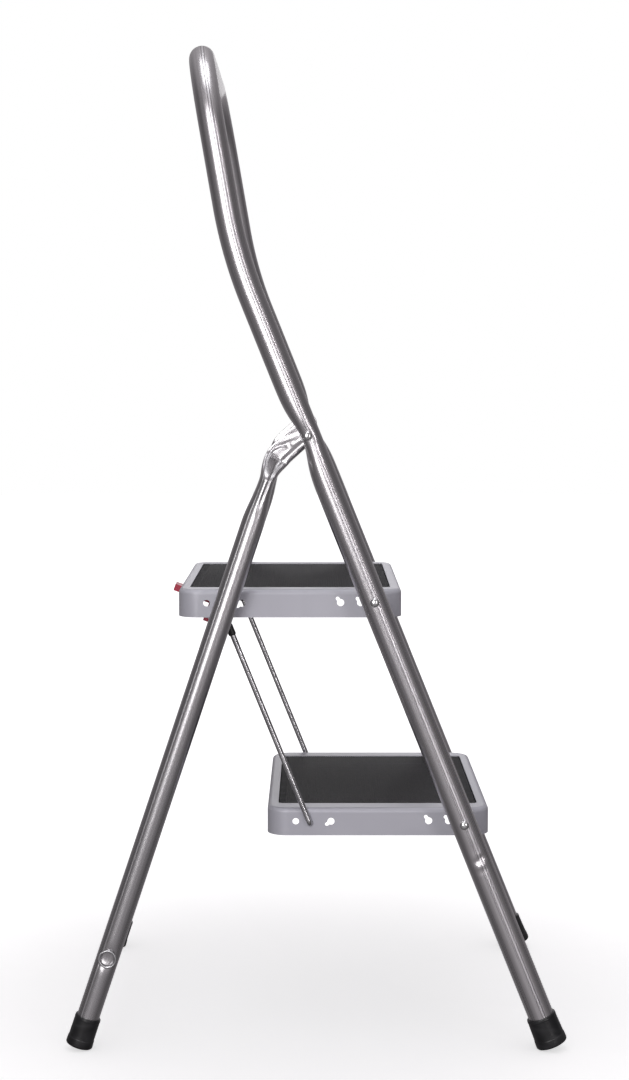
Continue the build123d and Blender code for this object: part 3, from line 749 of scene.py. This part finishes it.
def centred(uv: Array) -> Array:
    """UV whose turns run -0.5..0.5, so that the outer side lies at 0 and the join at the inner side."""
    turns = uv[..., 0]
    shifted = np.where(turns > 0.5, turns - 1.0, turns)
    out = uv.copy()
    out[..., 0] = shifted
    middle = uv.shape[1] // 2
    out[:, middle, 0] = 0.5
    return out


@dataclass
class Foot:
    """Moulded cup on a leg's end: a rolled lip, a slight flare and a rounded sole."""

    paint: Paintbox
    node: str
    body: Body
    axis: Array
    top_diameter: float
    bottom_diameter: float
    bore: float
    length: float = 31.0 * MM
    floor: float = 5.0 * MM
    edge: float = 4.2 * MM

    def build(self) -> None:
        """Turns the cup's section about the leg and presses its lowest rim flat on the floor."""
        low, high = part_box(self.node)
        centre_y = (low.y + high.y) / 2
        lean = math.atan2(-self.axis[0], self.axis[2])
        flat = self.bottom_diameter / 2 - 3.5 * MM
        foot_z = flat * math.sin(abs(lean)) + 3.5 * MM * (1 - math.cos(lean)) - 0.8 * MM
        reach = flat * math.cos(lean) - 3.5 * MM * math.sin(abs(lean)) + 3.5 * MM
        foot_x = (high.x - reach) if lean > 0 else (low.x + reach)
        top, bottom, bore = self.top_diameter / 2, self.bottom_diameter / 2, self.bore + 0.02 * MM
        section = rounded(
            [(0.0, 0.0), (bottom - 6 * MM, 0.0), (bottom - 5 * MM, 0.5 * MM), (bottom, 0.5 * MM),
             (bottom - 0.35 * MM, 8.5 * MM), (bottom - 0.75 * MM, 9.2 * MM), (top + 0.15 * MM, 27.5 * MM),
             (top + 0.35 * MM, 28.4 * MM), (top + 0.1 * MM, self.length), (bore, self.length),
             (bore, self.floor), (0.0, self.floor)],
            [0.4 * MM, 0.4 * MM, self.edge, 0.5 * MM, 0.5 * MM, 0.5 * MM, 0.6 * MM, 0.8 * MM, 0.5 * MM, 0.0])
        piece = lathe(f"{self.node}_cup", section, np.array([foot_x, centre_y, foot_z]), self.axis, 64)
        count = len(piece.data.vertices)
        places = np.zeros(count * 3, np.float32)
        piece.data.vertices.foreach_get("co", places)
        places = places.reshape(-1, 3)
        places[:, 2] = np.maximum(places[:, 2], 0.0)
        piece.data.vertices.foreach_set("co", places.ravel())
        finish_piece(piece, self.body, self.paint, "foot", self.node)


@dataclass
class DomedRivet:
    """Rivet with a domed head outside, a shank and a set tail inside."""

    paint: Paintbox
    node: str
    side: Side
    sunk: float
    head_radius: float = 4.4 * MM
    head_height: float = 2.5 * MM
    shank_radius: float = 3.0 * MM
    tail_radius: float = 4.0 * MM

    def build(self) -> None:
        """Turns the rivet's section about its own line across the stool."""
        low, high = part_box(self.node)
        x, z = (low.x + high.x) / 2, (low.z + high.z) / 2
        outer = max(abs(low.y), abs(high.y))
        inner = min(abs(low.y), abs(high.y))
        length = outer - inner - self.sunk
        seat = length - self.head_height - 0.9 * MM
        angle = np.linspace(np.pi / 2, 0, 12)
        dome = np.stack([self.head_radius * np.cos(angle), seat + 0.9 * MM + self.head_height * np.sin(angle)], 1)
        tail_angle = np.linspace(-np.pi / 2, 0, 8)
        tail = np.stack([self.tail_radius * np.cos(tail_angle), 1.4 * MM * (1 + np.sin(tail_angle))], 1)
        neck = np.array([[self.tail_radius - 0.2 * MM, 2.0 * MM], [self.shank_radius, 2.0 * MM],
                         [self.shank_radius, seat], [self.head_radius, seat]])
        profile = np.vstack([tail, neck, dome[::-1]])
        foot = np.array([x, self.side.value * inner, z])
        piece = lathe(f"{self.node}_turned", profile, foot, np.array([0.0, self.side.value, 0.0]), 40)
        finish_piece(piece, Body.FRONT, self.paint, "rivet", self.node)


# ------------------------------------------------------------------ rear frame
@dataclass
class RearFrame:
    """Rear legs with cranked, flattened tops, the flared cross tube, the support bar and the feet."""

    paint: Paintbox
    radius: float = 11.0 * MM
    crank_lean: float = math.radians(48.0)
    crank_offset: float = 23.1 * MM
    crank_radius: float = 50.0 * MM
    tab_width: float = 24.0 * MM
    tab_shift: float = 4.0 * MM
    tab_thickness: float = 3.0 * MM
    tab_length: float = 34.0 * MM
    neck_width: float = 15.0 * MM
    neck_at: float = 60.0 * MM
    round_at: float = 104.0 * MM
    columns: int = 96

    def __post_init__(self) -> None:
        """Finds the legs' line from the pivot and the rear feet."""
        self.pivot = joint_place("rear_fold")
        low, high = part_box("rear_leg_left")
        self.half_track = high.y - self.radius
        self.tab_y = low.y + self.tab_thickness / 2
        cross_low, cross_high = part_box("rear_cross_tube")
        self.cross = np.array([(cross_low.x + cross_high.x) / 2, 0.0, (cross_low.z + cross_high.z) / 2])
        run = self.pivot - self.cross
        reach = math.hypot(run[0], run[2])
        self.lean = math.atan2(run[0], run[2]) - math.asin(self.crank_offset / reach)
        self.bottom_z = low.z + self.radius * math.sin(self.lean)
        self.turn = self.crank_lean - self.lean
        self.start = self.pivot + self.tab_shift * np.array([-math.cos(self.crank_lean), 0, math.sin(self.crank_lean)])
        offset = self.crank_offset - self.tab_shift * math.cos(self.turn)
        self.arc_start = offset / math.sin(self.turn) - self.crank_radius * math.tan(self.turn / 2)
        self.arc_length = self.crank_radius * self.turn

    def line_x(self, height: float) -> float:
        """X of the straight leg at a height."""
        return self.cross[0] + (height - self.cross[2]) * math.tan(self.lean)

    def leg_grid(self, side: Side) -> tuple[Array, Array]:
        """Rings of a leg, from the flattened tip past the pivot down to the foot.

        Each ring is a superellipse of half width a and half thickness b about the crank's line. From the
        flat end to the neck a shrinks, b grows and the ring rounds out; past the neck a grows to the
        tube's radius. A rolled bead runs down the outer edge of the flat, with a fold line beside it, and
        the tube is dimpled round the cross tube's end.
        """
        tip = self.tab_width / 2
        run = self.straight_run(np.array([self.line_x(self.bottom_z), 0.0, self.bottom_z]))
        s = np.concatenate([-tip * np.cos(np.linspace(0, np.pi / 2, 14)), np.linspace(0.5 * MM, 130 * MM, 150),
                            np.linspace(132 * MM, run, 150)])
        centre, down = self.crank_point(s)
        width_dir = np.stack([down[:, 2], np.zeros(len(s)), -down[:, 0]], axis=1)
        to_neck = smooth_step((s - self.tab_length) / (self.neck_at - self.tab_length))
        to_round = smooth_step((s - self.neck_at) / (self.round_at - self.neck_at))
        flat = 1 - to_neck
        half_width = tip * flat + self.neck_width / 2 * (to_neck - to_round) + self.radius * to_round
        half_width *= np.where(s < 0, np.sqrt(np.clip(1 - (s / tip) ** 2, 0.0004, 1)), 1.0)
        half_thick = self.tab_thickness / 2 * flat + self.radius * to_neck
        middle = self.tab_y * flat + self.half_track * to_neck
        angle = ring_angles(self.columns)[None, :]
        c, w = np.cos(angle), np.sin(angle)
        across = half_width[:, None] * np.sign(w) * np.abs(w) ** (1 - 0.45 * flat[:, None])
        out = half_thick[:, None] * np.sign(c) * np.abs(c) ** (1 - 0.72 * flat[:, None])
        beside = across / np.maximum(half_width, 1e-4)[:, None]
        out = out + np.clip(c * 3, 0, 1) * self.pressed_shape(s, beside)
        foot_dip = bell(s - self.straight_run(self.cross), 9 * MM)[:, None]
        out = out - foot_dip * bell(turned(angle, 0.0), 0.62) * 2.4 * MM
        grid = centre[:, None] + width_dir[:, None] * (across * side.value)[..., None]
        grid[..., 1] = side.value * (middle[:, None] + out)
        return grid, strip_uv(s - s[0], self.columns)

    def pressed_shape(self, s: Array, beside: Array) -> Array:
        """How far the outer face stands off its plain section, at a distance and a share of the width.

        beside runs from -1 at the inner edge of the bend to 1 at the outer edge.
        """
        bead_on = smooth_step((s + 6 * MM) / (12 * MM)) * (1 - smooth_step((s - 36 * MM) / (30 * MM)))
        bead = 3.4 * MM * bead_on[:, None] * np.clip(1 - ((beside - 0.66) / 0.36) ** 2, 0, 1) ** 0.6
        fold_at = 0.30 - 1.05 * smooth_step((s - 4 * MM) / (34 * MM))
        fold_on = smooth_step((s - 2 * MM) / (8 * MM)) * (1 - smooth_step((s - 42 * MM) / (26 * MM)))
        rise = smooth_step((beside - fold_at[:, None]) / 0.16)
        lift = 1.9 * MM * smooth_step((s - 6 * MM) / (22 * MM)) * (1 - smooth_step((s - 40 * MM) / (22 * MM)))
        groove_at = 0.62 - 0.5 * smooth_step((s - 24 * MM) / (60 * MM))
        groove_on = smooth_step((s - 26 * MM) / (16 * MM)) * (1 - smooth_step((s - 66 * MM) / (34 * MM)))
        groove = 1.7 * MM * groove_on[:, None] * bell(beside - groove_at[:, None], 0.17)
        dents = 0.22 * MM * fold_on[:, None] * np.sin(beside * 9 + (s / MM)[:, None] * 0.35)
        return bead + rise * lift[:, None] - groove + dents * (1 - rise)

    def straight_run(self, place: Array) -> float:
        """Distance down the crank's line to a place on the straight leg."""
        arc_end = self.crank_point(np.array([self.arc_start + self.arc_length]))[0][0]
        return self.arc_start + self.arc_length + math.hypot(arc_end[0] - place[0], arc_end[2] - place[2])

    def crank_point(self, s: Array) -> tuple[Array, Array]:
        """Centre line and its direction at distances s down from beside the pivot, in the middle plane."""
        lean = self.crank_lean - np.clip((s - self.arc_start) / self.crank_radius, 0, self.turn)
        first = np.minimum(s, self.arc_start)
        last = np.maximum(s - self.arc_start - self.arc_length, 0)
        x = -first * math.sin(self.crank_lean) - self.crank_radius * (np.cos(lean) - math.cos(self.crank_lean))
        z = -first * math.cos(self.crank_lean) - self.crank_radius * (math.sin(self.crank_lean) - np.sin(lean))
        x, z = x - last * np.sin(lean), z - last * np.cos(lean)
        centre = self.start + np.stack([x, np.zeros_like(x), z], axis=1)
        return centre, np.stack([-np.sin(lean), np.zeros_like(x), -np.cos(lean)], axis=1)

    def build_legs(self) -> None:
        """Makes both legs."""
        for side in Side:
            grid, uv = self.leg_grid(side)
            piece = make_piece(f"rear_leg_{side.tag}_skin", grid[:, ::-1][:, np.r_[-1:self.columns - 1]], uv=centred(uv))
            point_outwards(piece)
            finish_piece(piece, Body.REAR, self.paint, "rear_tube", f"rear_leg_{side.tag}")

    def build_cross_tube(self) -> None:
        """Makes the cross tube: open bore, ends opened out into a rolled ring outside the legs."""
        low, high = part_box("rear_cross_tube")
        end = high.y
        bore, tube, ring = 6.0 * MM, 7.5 * MM, (high.x - low.x) / 2
        outer = rounded([(tube, 0.0), (tube, end - 4.4 * MM), (ring, end - 2.2 * MM), (ring, end - 0.2 * MM),
                         (ring - 1.0 * MM, end), (bore + 0.9 * MM, end - 0.4 * MM), (bore, end - 3.0 * MM), (bore, 0.0)],
                        [1.5 * MM, 1.0 * MM, 0.8 * MM, 0.8 * MM, 0.8 * MM, 1.2 * MM])
        half = np.vstack([outer, outer[::-1] * [1, -1]])
        section = np.vstack([half, half[:1]])
        piece = lathe("rear_cross_tube_drawn", section, self.cross, np.array([0.0, 1.0, 0.0]), 56)
        point_outwards(piece)
        finish_piece(piece, Body.REAR, self.paint, "zinc", "rear_cross_tube")

    def build(self) -> None:
        """Makes the whole rear frame."""
        self.build_legs()
        self.build_cross_tube()
        self.paint.repaint("step_support_bar", "zinc")
        axis = np.array([math.sin(self.lean), 0.0, math.cos(self.lean)])
        for side in Side:
            Foot(self.paint, f"rear_foot_{side.tag}", Body.REAR, axis, 24.8 * MM, 26.8 * MM, self.radius).build()


def point_outwards(piece: bpy.types.Object) -> None:
    """Turns a closed piece's faces outwards if its signed volume is negative."""
    mesh = piece.data
    mesh.calc_loop_triangles()
    places = np.zeros(len(mesh.vertices) * 3, np.float32)
    mesh.vertices.foreach_get("co", places)
    places = places.reshape(-1, 3)
    corners = np.zeros(len(mesh.loop_triangles) * 3, np.int32)
    mesh.loop_triangles.foreach_get("vertices", corners)
    a, b, c = places[corners.reshape(-1, 3)].transpose(1, 0, 2)
    if np.sum(a * np.cross(b, c)) < 0:
        mesh.flip_normals()


# ------------------------------------------------------------------ treads
@dataclass
class Tread:
    """One pressed tray and its ribbed mat."""

    paint: Paintbox
    which: str
    body: Body
    pitch: float = 2.35 * MM
    rib: float = 0.55 * MM
    strip: float = 8.0 * MM

    def mat_height(self, x: Array, y: Array, length: float, width: float) -> Array:
        """Height of the mat's face above its lowest level, before its rim.

        In the middle, small square studs: the product of two raised cosines. Along the front and back
        edges, a strip of coarser ribs square to the edge, set off by a groove.
        """
        stud = np.clip(1.4 * np.cos(2 * np.pi * x / self.pitch), -0.7, 0.7)
        stud = stud * 0.6 + 0.4 * np.clip(1.4 * np.cos(2 * np.pi * y / self.pitch), -0.7, 0.7)
        middle = self.rib * (0.5 + 0.7 * stud)
        rib = self.rib * (0.6 + 0.6 * np.clip(1.5 * np.cos(2 * np.pi * y / (2.6 * self.pitch)), -0.7, 0.7))
        in_strip = smooth_step((np.abs(x) - (length / 2 - self.strip)) / (0.6 * MM))
        groove = bell(np.abs(x) - (length / 2 - self.strip), 0.7 * MM)
        return middle * (1 - in_strip) + rib * in_strip - 0.5 * self.rib * groove

    def build_mat(self) -> None:
        """Makes the mat as one closed grid: face, rounded edge, sides and underside."""
        node = f"{self.which}_step_mat"
        low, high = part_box(node)
        length, width = high.x - low.x, high.y - low.y
        thickness = high.z - low.z
        centre = (as_array(low) + as_array(high)) / 2
        fine = self.pitch / 3
        x = np.linspace(-length / 2, length / 2, int(length / fine) + 1)
        y = np.linspace(-width / 2, width / 2, int(width / fine) + 1)
        gx, gy = np.meshgrid(x, y, indexing="ij")
        edge = np.minimum(length / 2 - np.abs(gx), width / 2 - np.abs(gy))
        roll = 1 - np.sqrt(np.clip(1 - np.clip(1 - edge / (1.0 * MM), 0, 1) ** 2, 0, 1))
        top = thickness - self.rib * 1.1 + self.mat_height(gx, gy, length, width) - 0.8 * MM * roll
        face = np.stack([gx + centre[0], gy + centre[1], low.z + top], axis=-1)
        skirt = [face]
        under = np.stack([gx + centre[0], gy + centre[1], np.full_like(gx, low.z)], axis=-1)
        piece = closed_pad(f"{node}_ribbed", skirt[0], under)
        finish_piece(piece, self.body, self.paint, "mat", node)

    def build(self) -> None:
        """Makes the tread."""
        self.paint.repaint(f"{self.which}_step_tray", "coat")
        self.build_mat()


def closed_pad(name: str, face: Array, under: Array) -> bpy.types.Object:
    """Closes a grid and the flat outline below it into one pad.

    Args:
        name: the piece's name.
        face: (n, m, 3) points of the upper side, X along rows and Y along columns.
        under: the same grid on the underside; only its border is used.

    Returns:
        The pad, with its faces pointing outwards.
    """
    n, m = face.shape[:2]
    index = np.arange(n * m).reshape(n, m)
    quads = np.stack([index[:-1, :-1], index[1:, :-1], index[1:, 1:], index[:-1, 1:]], axis=-1).reshape(-1, 4)
    border = np.concatenate([index[:-1, 0], index[-1, :-1], index[:0:-1, -1], index[0, :0:-1]])
    lower = under.reshape(-1, 3)[border]
    base = n * m + np.arange(len(border))
    after = np.roll(np.arange(len(border)), -1)
    sides = np.stack([border, base, base[after], border[after]], axis=-1)
    centre = n * m + len(border)
    points = np.vstack([face.reshape(-1, 3), lower, lower.mean(0)])
    floor = np.stack([base[after], base, np.full(len(border), centre)], axis=-1)
    mesh = bpy.data.meshes.new(name)
    mesh.from_pydata(points.tolist(), [], quads.tolist() + sides.tolist() + floor.tolist())
    mesh.polygons.foreach_set("use_smooth", np.ones(len(mesh.polygons), bool))
    piece = bpy.data.objects.new(name, mesh)
    bpy.context.scene.collection.objects.link(piece)
    return piece


# ------------------------------------------------------------------ links and latch
@dataclass
class LinkRods:
    """Hooked wire rods between the treads, with their clips and sleeves."""

    paint: Paintbox
    radius: float = 2.75 * MM
    bend: float = 4.0 * MM

    def build(self) -> None:
        """Makes each rod as a swept wire with rounded tips, and turns its clips and sleeve."""
        upper = joint_place("link_left_swing")
        shift = joint_place("lower_step_fold") - joint_place("upper_step_fold")
        for side, body in ((Side.LEFT, Body.LINK_LEFT), (Side.RIGHT, Body.LINK_RIGHT)):
            low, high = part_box(f"link_rod_{side.tag}")
            near, far = sorted((abs(low.y), abs(high.y)))
            outer = far - self.radius
            corners = np.array([
                (upper[0], side.value * near, upper[2]), (upper[0], side.value * outer, upper[2]),
                (upper[0] + shift[0], side.value * outer, upper[2] + shift[2]),
                (upper[0] + shift[0], side.value * near, upper[2] + shift[2])])
            route = Route.through(corners, [self.bend, self.bend], 1.2 * MM)
            from_end = np.minimum(route.travel, route.travel[-1] - route.travel)
            taper = np.sqrt(np.clip(1 - np.clip(1 - from_end / (1.0 * MM), 0, 1) ** 2, 0.25, 1))
            forward = np.array([shift[2], 0.0, -shift[0]]) * -1.0
            grid, uv = sweep(route, forward / np.linalg.norm(forward), self.radius * taper[:, None], 28)
            piece = make_piece(f"link_rod_{side.tag}_wire", grid, uv=centred(uv))
            point_outwards(piece)
            finish_piece(piece, body, self.paint, "wire", f"link_rod_{side.tag}")
            self.build_fittings(side, body, shift)

    def build_fittings(self, side: Side, body: Body, shift: Array) -> None:
        """Makes a rod's two push-on clips and its sleeve."""
        for which in ("upper", "lower"):
            node = f"{which}_rod_clip_{side.tag}"
            low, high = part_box(node)
            centre = (as_array(low) + as_array(high)) / 2
            rim = (high.x - low.x) / 2
            inner = min(abs(low.y), abs(high.y))
            foot = np.array([centre[0], side.value * inner, centre[2]])
            section = np.array([(self.radius + 0.05 * MM, 0.0), (rim * 0.72, 0.1 * MM), (rim, 0.45 * MM),
                                (rim, 1.0 * MM), (rim * 0.74, 0.75 * MM), (self.radius + 0.05 * MM, 0.6 * MM)])
            ring = np.vstack([section, section[:1]])
            piece = lathe(f"{node}_pressed", ring, foot, np.array([0.0, side.value, 0.0]), 36)
            point_outwards(piece)
            finish_piece(piece, body, self.paint, "zinc", node)
        node = f"rod_sleeve_{side.tag}"
        low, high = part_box(node)
        centre = (as_array(low) + as_array(high)) / 2
        axis = shift / np.linalg.norm(shift)
        rim = (high.y - low.y) / 2
        half = 5.5 * MM
        section = rounded([(self.radius + 0.02 * MM, -half), (rim - 0.5 * MM, -half), (rim, -half + 0.9 * MM),
                           (rim, half - 0.9 * MM), (rim - 0.5 * MM, half), (self.radius + 0.02 * MM, half)],
                          [0.3 * MM, 0.4 * MM, 0.4 * MM, 0.3 * MM])
        piece = lathe(f"{node}_moulded", np.vstack([section, section[:1]]), centre, axis, 36)
        point_outwards(piece)
        finish_piece(piece, body, self.paint, "sleeve", node)


@dataclass
class Latch:
    """The red lever, its pin and its bracket."""

    paint: Paintbox

    def build(self) -> None:
        """Re-dresses the lever, its pin and its bracket."""
        self.paint.repaint("latch_lever", "latch")
        self.paint.repaint("latch_pin", "zinc")
        self.paint.repaint("latch_bracket", "zinc")


# ------------------------------------------------------------------ studio
@dataclass
class Studio:
    """Camera, soft lights, surroundings and a pale floor."""

    eye: tuple = (-0.0018, -2.1365, 0.6562)
    tilt_down: float = math.radians(4.665)
    lens: float = 68.575
    sensor: float = 36.0

    def camera(self) -> None:
        """Sets the camera: level, looking along +Y and a little down."""
        data = bpy.data.cameras.new("view")
        data.lens, data.sensor_width, data.sensor_fit = self.lens, self.sensor, "AUTO"
        data.clip_start, data.clip_end = 0.05, 60.0
        view = bpy.data.objects.new("view", data)
        view.location = self.eye
        view.rotation_euler = (math.pi / 2 - self.tilt_down, 0.0, 0.0)
        bpy.context.scene.collection.objects.link(view)
        bpy.context.scene.camera = view

    def softbox(self, name: str, place: tuple, aim: tuple, size: tuple, watts: float, tint: tuple) -> None:
        """Adds one rectangular soft light at a place, facing a point."""
        data = bpy.data.lights.new(name, "AREA")
        data.shape, data.size, data.size_y = "RECTANGLE", size[0], size[1]
        data.energy, data.color = watts, tint
        lamp = bpy.data.objects.new(name, data)
        lamp.location = place
        lamp.rotation_euler = (Vector(aim) - Vector(place)).to_track_quat("-Z", "Y").to_euler()
        bpy.context.scene.collection.objects.link(lamp)

    def lights(self) -> None:
        """Adds the key, fill, top and back lights."""
        self.softbox("key", (-0.75, -2.7, 1.1), (0.0, 0.0, 0.45), (0.95, 1.9), 34.0, (1.0, 0.985, 0.99))
        self.softbox("fill", (1.25, -2.3, 0.8), (0.0, 0.0, 0.45), (0.16, 1.7), 9.0, (1.0, 0.96, 0.98))
        self.softbox("top", (0.0, -0.3, 2.6), (0.0, 0.0, 0.4), (1.3, 1.3), 15.0, (0.97, 0.98, 1.0))
        self.softbox("back", (0.0, 2.7, 0.9), (0.0, 0.0, 0.5), (0.9, 1.7), 5.0, (1.0, 1.0, 1.0))

    def surroundings(self) -> None:
        """White behind the stool, and a dim room for its metal to reflect.

        The room is grey towards the front and overhead, darker at the sides and below: its brightness is
        a floor value plus a share of the direction's forward part squared and of its upward part.
        """
        world = bpy.data.worlds.new("room")
        world.use_nodes = True
        g = Graph(world.node_tree)
        split = g.node("ShaderNodeSeparateXYZ", {}, {0: g.node("ShaderNodeTexCoord", output="Generated")})
        forward, upward = g.wire(split.socket.node.outputs[1]), g.wire(split.socket.node.outputs[2])
        level = 0.10 + forward * forward * 0.26 + upward.span(0.3, 0.95) * 0.30
        tint = g.node("ShaderNodeCombineColor", {}, {0: level, 1: level * 0.955, 2: level * 0.99})
        room = g.node("ShaderNodeBackground", {}, {0: tint})
        page = g.node("ShaderNodeBackground", {}, {0: (1.0, 1.0, 1.0)})
        seen = g.node("ShaderNodeLightPath", output="Is Camera Ray")
        both = g.node("ShaderNodeMixShader", {}, {0: seen, 1: room, 2: page})
        g.node_out("ShaderNodeOutputWorld", both)
        bpy.context.scene.world = world

    def floor(self) -> None:
        """Lays a pale round floor that brightens to white away from the stool."""
        radius = np.linspace(0.0, 9.0, 40)[1:]
        profile = np.stack([radius, np.zeros(len(radius))], axis=1)
        piece = lathe("floor", profile, np.array([0.0, 0.0, -0.4 * MM]), np.array([0.0, 0.0, 1.0]), 96)
        r = Recipe("pale_floor")
        away = r.node("ShaderNodeVectorMath", {"operation": "LENGTH"}, {0: r.place()}, "Value")
        r.set(Base_Color=(0.86, 0.86, 0.87), Roughness=0.9, Specular_IOR_Level=0.1,
              Emission_Color=r.blend((0.62, 0.62, 0.62), (1.0, 1.0, 1.0), away.span(0.2, 0.9)), Emission_Strength=1.0)
        piece.data.materials.append(r.material)
        piece.visible_glossy = piece.visible_diffuse = False

    def build(self) -> None:
        """Sets up the whole studio."""
        self.camera()
        self.lights()
        self.surroundings()
        self.floor()
        bpy.context.scene.view_settings.view_transform = "Standard"


def main() -> None:
    """Builds the studio and then each sub-assembly."""
    logging.basicConfig(level=logging.INFO, format="%(message)s")
    Studio().build()
    paint = Paintbox()
    FrontFrame(paint).build()
    RearFrame(paint).build()
    Tread(paint, "upper", Body.UPPER).build()
    Tread(paint, "lower", Body.LOWER).build()
    LinkRods(paint).build()
    Latch(paint).build()


if __name__ == "__main__":
    main()
